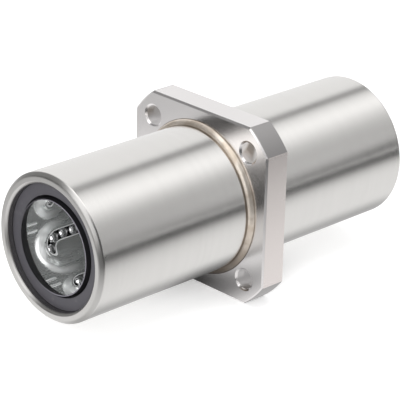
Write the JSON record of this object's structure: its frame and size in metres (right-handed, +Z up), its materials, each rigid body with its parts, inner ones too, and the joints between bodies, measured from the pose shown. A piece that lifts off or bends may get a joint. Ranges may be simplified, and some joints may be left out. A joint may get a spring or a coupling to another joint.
{
  "type": "flanged linear bushing",
  "caption": "Long linear ball bushing with a cut-off round flange at mid-length, counterbored screw holes, end seals and recirculating ball circuits in pressed cages.",
  "frame": {"origin": "on the bore's axis at the sleeve's mid-length, which is also the middle of the flange's thickness", "axes": "+X along the bore towards the rear end, where the screw heads are; +Y across; +Z up, square to the flange's upper flat"},
  "size_m": [0.112, 0.05, 0.05],
  "materials": {
    "ground_steel": "fine ground, satin",
    "plated_flange": "nickel plated, satin",
    "braze": "dull, slightly uneven",
    "pressed_steel": "polished sheet",
    "spacer_steel": "turned",
    "spring_steel": "blued",
    "seal_rubber": "smooth moulded, matt",
    "insert_steel": "pressed sheet",
    "ball_steel": "mirror polished"
  },
  "bodies": {
    "housing": {"sleeve": "ground_steel", "flange": "plated_flange", "braze_joint": "braze", "front_retainer": "pressed_steel", "rear_retainer": "pressed_steel", "retainer_spacer": "spacer_steel", "front_retaining_ring": "spring_steel", "rear_retaining_ring": "spring_steel", "front_seal_rubber": "seal_rubber", "rear_seal_rubber": "seal_rubber", "front_seal_insert": "insert_steel", "rear_seal_insert": "insert_steel"},
    "front_circuit_1_load_row": {"front_circuit_1_load_balls": "ball_steel"},
    "front_circuit_1_return_row": {"front_circuit_1_return_balls": "ball_steel"},
    "front_circuit_1_front_turn": {"front_circuit_1_front_turn_balls": "ball_steel"},
    "front_circuit_1_rear_turn": {"front_circuit_1_rear_turn_balls": "ball_steel"},
    "front_circuit_2_load_row": {"front_circuit_2_load_balls": "ball_steel"},
    "front_circuit_2_return_row": {"front_circuit_2_return_balls": "ball_steel"},
    "front_circuit_2_front_turn": {"front_circuit_2_front_turn_balls": "ball_steel"},
    "front_circuit_2_rear_turn": {"front_circuit_2_rear_turn_balls": "ball_steel"},
    "front_circuit_3_load_row": {"front_circuit_3_load_balls": "ball_steel"},
    "front_circuit_3_return_row": {"front_circuit_3_return_balls": "ball_steel"},
    "front_circuit_3_front_turn": {"front_circuit_3_front_turn_balls": "ball_steel"},
    "front_circuit_3_rear_turn": {"front_circuit_3_rear_turn_balls": "ball_steel"},
    "front_circuit_4_load_row": {"front_circuit_4_load_balls": "ball_steel"},
    "front_circuit_4_return_row": {"front_circuit_4_return_balls": "ball_steel"},
    "front_circuit_4_front_turn": {"front_circuit_4_front_turn_balls": "ball_steel"},
    "front_circuit_4_rear_turn": {"front_circuit_4_rear_turn_balls": "ball_steel"},
    "front_circuit_5_load_row": {"front_circuit_5_load_balls": "ball_steel"},
    "front_circuit_5_return_row": {"front_circuit_5_return_balls": "ball_steel"},
    "front_circuit_5_front_turn": {"front_circuit_5_front_turn_balls": "ball_steel"},
    "front_circuit_5_rear_turn": {"front_circuit_5_rear_turn_balls": "ball_steel"},
    "front_circuit_6_load_row": {"front_circuit_6_load_balls": "ball_steel"},
    "front_circuit_6_return_row": {"front_circuit_6_return_balls": "ball_steel"},
    "front_circuit_6_front_turn": {"front_circuit_6_front_turn_balls": "ball_steel"},
    "front_circuit_6_rear_turn": {"front_circuit_6_rear_turn_balls": "ball_steel"},
    "rear_circuit_1_load_row": {"rear_circuit_1_load_balls": "ball_steel"},
    "rear_circuit_1_return_row": {"rear_circuit_1_return_balls": "ball_steel"},
    "rear_circuit_1_front_turn": {"rear_circuit_1_front_turn_balls": "ball_steel"},
    "rear_circuit_1_rear_turn": {"rear_circuit_1_rear_turn_balls": "ball_steel"},
    "rear_circuit_2_load_row": {"rear_circuit_2_load_balls": "ball_steel"},
    "rear_circuit_2_return_row": {"rear_circuit_2_return_balls": "ball_steel"},
    "rear_circuit_2_front_turn": {"rear_circuit_2_front_turn_balls": "ball_steel"},
    "rear_circuit_2_rear_turn": {"rear_circuit_2_rear_turn_balls": "ball_steel"},
    "rear_circuit_3_load_row": {"rear_circuit_3_load_balls": "ball_steel"},
    "rear_circuit_3_return_row": {"rear_circuit_3_return_balls": "ball_steel"},
    "rear_circuit_3_front_turn": {"rear_circuit_3_front_turn_balls": "ball_steel"},
    "rear_circuit_3_rear_turn": {"rear_circuit_3_rear_turn_balls": "ball_steel"},
    "rear_circuit_4_load_row": {"rear_circuit_4_load_balls": "ball_steel"},
    "rear_circuit_4_return_row": {"rear_circuit_4_return_balls": "ball_steel"},
    "rear_circuit_4_front_turn": {"rear_circuit_4_front_turn_balls": "ball_steel"},
    "rear_circuit_4_rear_turn": {"rear_circuit_4_rear_turn_balls": "ball_steel"},
    "rear_circuit_5_load_row": {"rear_circuit_5_load_balls": "ball_steel"},
    "rear_circuit_5_return_row": {"rear_circuit_5_return_balls": "ball_steel"},
    "rear_circuit_5_front_turn": {"rear_circuit_5_front_turn_balls": "ball_steel"},
    "rear_circuit_5_rear_turn": {"rear_circuit_5_rear_turn_balls": "ball_steel"},
    "rear_circuit_6_load_row": {"rear_circuit_6_load_balls": "ball_steel"},
    "rear_circuit_6_return_row": {"rear_circuit_6_return_balls": "ball_steel"},
    "rear_circuit_6_front_turn": {"rear_circuit_6_front_turn_balls": "ball_steel"},
    "rear_circuit_6_rear_turn": {"rear_circuit_6_rear_turn_balls": "ball_steel"}
  },
  "joints": [
    {"name": "front_circuit_1_load_row", "type": "slide", "parent": "housing", "child": "front_circuit_1_load_row", "axis": [1, 0, 0], "range_m": [-0.0017, 0.0017]},
    {"name": "front_circuit_1_return_row", "type": "slide", "parent": "housing", "child": "front_circuit_1_return_row", "axis": [1, 0, 0], "range_m": [-0.0017, 0.0017]},
    {"name": "front_circuit_1_front_turn", "type": "hinge", "parent": "housing", "child": "front_circuit_1_front_turn", "pos_m": [-0.0421, 0.01237, -0.00751], "axis": [0, 0.9494, -0.314], "range_deg": [-30.01, 30.01]},
    {"name": "front_circuit_1_rear_turn", "type": "hinge", "parent": "housing", "child": "front_circuit_1_rear_turn", "pos_m": [-0.01152, 0.01237, -0.00751], "axis": [0, 0.9494, -0.314], "range_deg": [-30.01, 30.01]},
    {"name": "front_circuit_2_load_row", "type": "slide", "parent": "housing", "child": "front_circuit_2_load_row", "axis": [1, 0, 0], "range_m": [-0.0017, 0.0017]},
    {"name": "front_circuit_2_return_row", "type": "slide", "parent": "housing", "child": "front_circuit_2_return_row", "axis": [1, 0, 0], "range_m": [-0.0017, 0.0017]},
    {"name": "front_circuit_2_front_turn", "type": "hinge", "parent": "housing", "child": "front_circuit_2_front_turn", "pos_m": [-0.0421, 0.01269, 0.00696], "axis": [0, 0.7466, 0.6652], "range_deg": [-30.01, 30.01]},
    {"name": "front_circuit_2_rear_turn", "type": "hinge", "parent": "housing", "child": "front_circuit_2_rear_turn", "pos_m": [-0.01152, 0.01269, 0.00696], "axis": [0, 0.7466, 0.6652], "range_deg": [-30.01, 30.01]},
    {"name": "front_circuit_3_load_row", "type": "slide", "parent": "housing", "child": "front_circuit_3_load_row", "axis": [1, 0, 0], "range_m": [-0.0017, 0.0017]},
    {"name": "front_circuit_3_return_row", "type": "slide", "parent": "housing", "child": "front_circuit_3_return_row", "axis": [1, 0, 0], "range_m": [-0.0017, 0.0017]},
    {"name": "front_circuit_3_front_turn", "type": "hinge", "parent": "housing", "child": "front_circuit_3_front_turn", "pos_m": [-0.0421, 0.00032, 0.01447], "axis": [0, -0.2028, 0.9792], "range_deg": [-30.01, 30.01]},
    {"name": "front_circuit_3_rear_turn", "type": "hinge", "parent": "housing", "child": "front_circuit_3_rear_turn", "pos_m": [-0.01152, 0.00032, 0.01447], "axis": [0, -0.2028, 0.9792], "range_deg": [-30.01, 30.01]},
    {"name": "front_circuit_4_load_row", "type": "slide", "parent": "housing", "child": "front_circuit_4_load_row", "axis": [1, 0, 0], "range_m": [-0.0017, 0.0017]},
    {"name": "front_circuit_4_return_row", "type": "slide", "parent": "housing", "child": "front_circuit_4_return_row", "axis": [1, 0, 0], "range_m": [-0.0017, 0.0017]},
    {"name": "front_circuit_4_front_turn", "type": "hinge", "parent": "housing", "child": "front_circuit_4_front_turn", "pos_m": [-0.0421, -0.01237, 0.00751], "axis": [0, -0.9494, 0.314], "range_deg": [-30.01, 30.01]},
    {"name": "front_circuit_4_rear_turn", "type": "hinge", "parent": "housing", "child": "front_circuit_4_rear_turn", "pos_m": [-0.01152, -0.01237, 0.00751], "axis": [0, -0.9494, 0.314], "range_deg": [-30.01, 30.01]},
    {"name": "front_circuit_5_load_row", "type": "slide", "parent": "housing", "child": "front_circuit_5_load_row", "axis": [1, 0, 0], "range_m": [-0.0017, 0.0017]},
    {"name": "front_circuit_5_return_row", "type": "slide", "parent": "housing", "child": "front_circuit_5_return_row", "axis": [1, 0, 0], "range_m": [-0.0017, 0.0017]},
    {"name": "front_circuit_5_front_turn", "type": "hinge", "parent": "housing", "child": "front_circuit_5_front_turn", "pos_m": [-0.0421, -0.01269, -0.00696], "axis": [0, -0.7466, -0.6652], "range_deg": [-30.01, 30.01]},
    {"name": "front_circuit_5_rear_turn", "type": "hinge", "parent": "housing", "child": "front_circuit_5_rear_turn", "pos_m": [-0.01152, -0.01269, -0.00696], "axis": [0, -0.7466, -0.6652], "range_deg": [-30.01, 30.01]},
    {"name": "front_circuit_6_load_row", "type": "slide", "parent": "housing", "child": "front_circuit_6_load_row", "axis": [1, 0, 0], "range_m": [-0.0017, 0.0017]},
    {"name": "front_circuit_6_return_row", "type": "slide", "parent": "housing", "child": "front_circuit_6_return_row", "axis": [1, 0, 0], "range_m": [-0.0017, 0.0017]},
    {"name": "front_circuit_6_front_turn", "type": "hinge", "parent": "housing", "child": "front_circuit_6_front_turn", "pos_m": [-0.0421, -0.00032, -0.01447], "axis": [0, 0.2028, -0.9792], "range_deg": [-30.01, 30.01]},
    {"name": "front_circuit_6_rear_turn", "type": "hinge", "parent": "housing", "child": "front_circuit_6_rear_turn", "pos_m": [-0.01152, -0.00032, -0.01447], "axis": [0, 0.2028, -0.9792], "range_deg": [-30.01, 30.01]},
    {"name": "rear_circuit_1_load_row", "type": "slide", "parent": "housing", "child": "rear_circuit_1_load_row", "axis": [1, 0, 0], "range_m": [-0.0017, 0.0017]},
    {"name": "rear_circuit_1_return_row", "type": "slide", "parent": "housing", "child": "rear_circuit_1_return_row", "axis": [1, 0, 0], "range_m": [-0.0017, 0.0017]},
    {"name": "rear_circuit_1_front_turn", "type": "hinge", "parent": "housing", "child": "rear_circuit_1_front_turn", "pos_m": [0.01152, 0.01237, -0.00751], "axis": [0, 0.9494, -0.314], "range_deg": [-30.01, 30.01]},
    {"name": "rear_circuit_1_rear_turn", "type": "hinge", "parent": "housing", "child": "rear_circuit_1_rear_turn", "pos_m": [0.0421, 0.01237, -0.00751], "axis": [0, 0.9494, -0.314], "range_deg": [-30.01, 30.01]},
    {"name": "rear_circuit_2_load_row", "type": "slide", "parent": "housing", "child": "rear_circuit_2_load_row", "axis": [1, 0, 0], "range_m": [-0.0017, 0.0017]},
    {"name": "rear_circuit_2_return_row", "type": "slide", "parent": "housing", "child": "rear_circuit_2_return_row", "axis": [1, 0, 0], "range_m": [-0.0017, 0.0017]},
    {"name": "rear_circuit_2_front_turn", "type": "hinge", "parent": "housing", "child": "rear_circuit_2_front_turn", "pos_m": [0.01152, 0.01269, 0.00696], "axis": [0, 0.7466, 0.6652], "range_deg": [-30.01, 30.01]},
    {"name": "rear_circuit_2_rear_turn", "type": "hinge", "parent": "housing", "child": "rear_circuit_2_rear_turn", "pos_m": [0.0421, 0.01269, 0.00696], "axis": [0, 0.7466, 0.6652], "range_deg": [-30.01, 30.01]},
    {"name": "rear_circuit_3_load_row", "type": "slide", "parent": "housing", "child": "rear_circuit_3_load_row", "axis": [1, 0, 0], "range_m": [-0.0017, 0.0017]},
    {"name": "rear_circuit_3_return_row", "type": "slide", "parent": "housing", "child": "rear_circuit_3_return_row", "axis": [1, 0, 0], "range_m": [-0.0017, 0.0017]},
    {"name": "rear_circuit_3_front_turn", "type": "hinge", "parent": "housing", "child": "rear_circuit_3_front_turn", "pos_m": [0.01152, 0.00032, 0.01447], "axis": [0, -0.2028, 0.9792], "range_deg": [-30.01, 30.01]},
    {"name": "rear_circuit_3_rear_turn", "type": "hinge", "parent": "housing", "child": "rear_circuit_3_rear_turn", "pos_m": [0.0421, 0.00032, 0.01447], "axis": [0, -0.2028, 0.9792], "range_deg": [-30.01, 30.01]},
    {"name": "rear_circuit_4_load_row", "type": "slide", "parent": "housing", "child": "rear_circuit_4_load_row", "axis": [1, 0, 0], "range_m": [-0.0017, 0.0017]},
    {"name": "rear_circuit_4_return_row", "type": "slide", "parent": "housing", "child": "rear_circuit_4_return_row", "axis": [1, 0, 0], "range_m": [-0.0017, 0.0017]},
    {"name": "rear_circuit_4_front_turn", "type": "hinge", "parent": "housing", "child": "rear_circuit_4_front_turn", "pos_m": [0.01152, -0.01237, 0.00751], "axis": [0, -0.9494, 0.314], "range_deg": [-30.01, 30.01]},
    {"name": "rear_circuit_4_rear_turn", "type": "hinge", "parent": "housing", "child": "rear_circuit_4_rear_turn", "pos_m": [0.0421, -0.01237, 0.00751], "axis": [0, -0.9494, 0.314], "range_deg": [-30.01, 30.01]},
    {"name": "rear_circuit_5_load_row", "type": "slide", "parent": "housing", "child": "rear_circuit_5_load_row", "axis": [1, 0, 0], "range_m": [-0.0017, 0.0017]},
    {"name": "rear_circuit_5_return_row", "type": "slide", "parent": "housing", "child": "rear_circuit_5_return_row", "axis": [1, 0, 0], "range_m": [-0.0017, 0.0017]},
    {"name": "rear_circuit_5_front_turn", "type": "hinge", "parent": "housing", "child": "rear_circuit_5_front_turn", "pos_m": [0.01152, -0.01269, -0.00696], "axis": [0, -0.7466, -0.6652], "range_deg": [-30.01, 30.01]},
    {"name": "rear_circuit_5_rear_turn", "type": "hinge", "parent": "housing", "child": "rear_circuit_5_rear_turn", "pos_m": [0.0421, -0.01269, -0.00696], "axis": [0, -0.7466, -0.6652], "range_deg": [-30.01, 30.01]},
    {"name": "rear_circuit_6_load_row", "type": "slide", "parent": "housing", "child": "rear_circuit_6_load_row", "axis": [1, 0, 0], "range_m": [-0.0017, 0.0017]},
    {"name": "rear_circuit_6_return_row", "type": "slide", "parent": "housing", "child": "rear_circuit_6_return_row", "axis": [1, 0, 0], "range_m": [-0.0017, 0.0017]},
    {"name": "rear_circuit_6_front_turn", "type": "hinge", "parent": "housing", "child": "rear_circuit_6_front_turn", "pos_m": [0.01152, -0.00032, -0.01447], "axis": [0, 0.2028, -0.9792], "range_deg": [-30.01, 30.01]},
    {"name": "rear_circuit_6_rear_turn", "type": "hinge", "parent": "housing", "child": "rear_circuit_6_rear_turn", "pos_m": [0.0421, -0.00032, -0.01447], "axis": [0, 0.2028, -0.9792], "range_deg": [-30.01, 30.01]}
  ],
  "couplings": [
    {"joint": "front_circuit_1_return_row", "follows": "front_circuit_1_load_row", "ratio": -1},
    {"joint": "front_circuit_1_front_turn", "follows": "front_circuit_1_load_row", "rad_per_m": 308.17},
    {"joint": "front_circuit_1_rear_turn", "follows": "front_circuit_1_load_row", "rad_per_m": 308.17},
    {"joint": "front_circuit_2_load_row", "follows": "front_circuit_1_load_row", "ratio": 1},
    {"joint": "front_circuit_2_return_row", "follows": "front_circuit_1_load_row", "ratio": -1},
    {"joint": "front_circuit_2_front_turn", "follows": "front_circuit_1_load_row", "rad_per_m": 308.17},
    {"joint": "front_circuit_2_rear_turn", "follows": "front_circuit_1_load_row", "rad_per_m": 308.17},
    {"joint": "front_circuit_3_load_row", "follows": "front_circuit_1_load_row", "ratio": 1},
    {"joint": "front_circuit_3_return_row", "follows": "front_circuit_1_load_row", "ratio": -1},
    {"joint": "front_circuit_3_front_turn", "follows": "front_circuit_1_load_row", "rad_per_m": 308.17},
    {"joint": "front_circuit_3_rear_turn", "follows": "front_circuit_1_load_row", "rad_per_m": 308.17},
    {"joint": "front_circuit_4_load_row", "follows": "front_circuit_1_load_row", "ratio": 1},
    {"joint": "front_circuit_4_return_row", "follows": "front_circuit_1_load_row", "ratio": -1},
    {"joint": "front_circuit_4_front_turn", "follows": "front_circuit_1_load_row", "rad_per_m": 308.17},
    {"joint": "front_circuit_4_rear_turn", "follows": "front_circuit_1_load_row", "rad_per_m": 308.17},
    {"joint": "front_circuit_5_load_row", "follows": "front_circuit_1_load_row", "ratio": 1},
    {"joint": "front_circuit_5_return_row", "follows": "front_circuit_1_load_row", "ratio": -1},
    {"joint": "front_circuit_5_front_turn", "follows": "front_circuit_1_load_row", "rad_per_m": 308.17},
    {"joint": "front_circuit_5_rear_turn", "follows": "front_circuit_1_load_row", "rad_per_m": 308.17},
    {"joint": "front_circuit_6_load_row", "follows": "front_circuit_1_load_row", "ratio": 1},
    {"joint": "front_circuit_6_return_row", "follows": "front_circuit_1_load_row", "ratio": -1},
    {"joint": "front_circuit_6_front_turn", "follows": "front_circuit_1_load_row", "rad_per_m": 308.17},
    {"joint": "front_circuit_6_rear_turn", "follows": "front_circuit_1_load_row", "rad_per_m": 308.17},
    {"joint": "rear_circuit_1_load_row", "follows": "front_circuit_1_load_row", "ratio": 1},
    {"joint": "rear_circuit_1_return_row", "follows": "front_circuit_1_load_row", "ratio": -1},
    {"joint": "rear_circuit_1_front_turn", "follows": "front_circuit_1_load_row", "rad_per_m": 308.17},
    {"joint": "rear_circuit_1_rear_turn", "follows": "front_circuit_1_load_row", "rad_per_m": 308.17},
    {"joint": "rear_circuit_2_load_row", "follows": "front_circuit_1_load_row", "ratio": 1},
    {"joint": "rear_circuit_2_return_row", "follows": "front_circuit_1_load_row", "ratio": -1},
    {"joint": "rear_circuit_2_front_turn", "follows": "front_circuit_1_load_row", "rad_per_m": 308.17},
    {"joint": "rear_circuit_2_rear_turn", "follows": "front_circuit_1_load_row", "rad_per_m": 308.17},
    {"joint": "rear_circuit_3_load_row", "follows": "front_circuit_1_load_row", "ratio": 1},
    {"joint": "rear_circuit_3_return_row", "follows": "front_circuit_1_load_row", "ratio": -1},
    {"joint": "rear_circuit_3_front_turn", "follows": "front_circuit_1_load_row", "rad_per_m": 308.17},
    {"joint": "rear_circuit_3_rear_turn", "follows": "front_circuit_1_load_row", "rad_per_m": 308.17},
    {"joint": "rear_circuit_4_load_row", "follows": "front_circuit_1_load_row", "ratio": 1},
    {"joint": "rear_circuit_4_return_row", "follows": "front_circuit_1_load_row", "ratio": -1},
    {"joint": "rear_circuit_4_front_turn", "follows": "front_circuit_1_load_row", "rad_per_m": 308.17},
    {"joint": "rear_circuit_4_rear_turn", "follows": "front_circuit_1_load_row", "rad_per_m": 308.17},
    {"joint": "rear_circuit_5_load_row", "follows": "front_circuit_1_load_row", "ratio": 1},
    {"joint": "rear_circuit_5_return_row", "follows": "front_circuit_1_load_row", "ratio": -1},
    {"joint": "rear_circuit_5_front_turn", "follows": "front_circuit_1_load_row", "rad_per_m": 308.17},
    {"joint": "rear_circuit_5_rear_turn", "follows": "front_circuit_1_load_row", "rad_per_m": 308.17},
    {"joint": "rear_circuit_6_load_row", "follows": "front_circuit_1_load_row", "ratio": 1},
    {"joint": "rear_circuit_6_return_row", "follows": "front_circuit_1_load_row", "ratio": -1},
    {"joint": "rear_circuit_6_front_turn", "follows": "front_circuit_1_load_row", "rad_per_m": 308.17},
    {"joint": "rear_circuit_6_rear_turn", "follows": "front_circuit_1_load_row", "rad_per_m": 308.17}
  ]
}
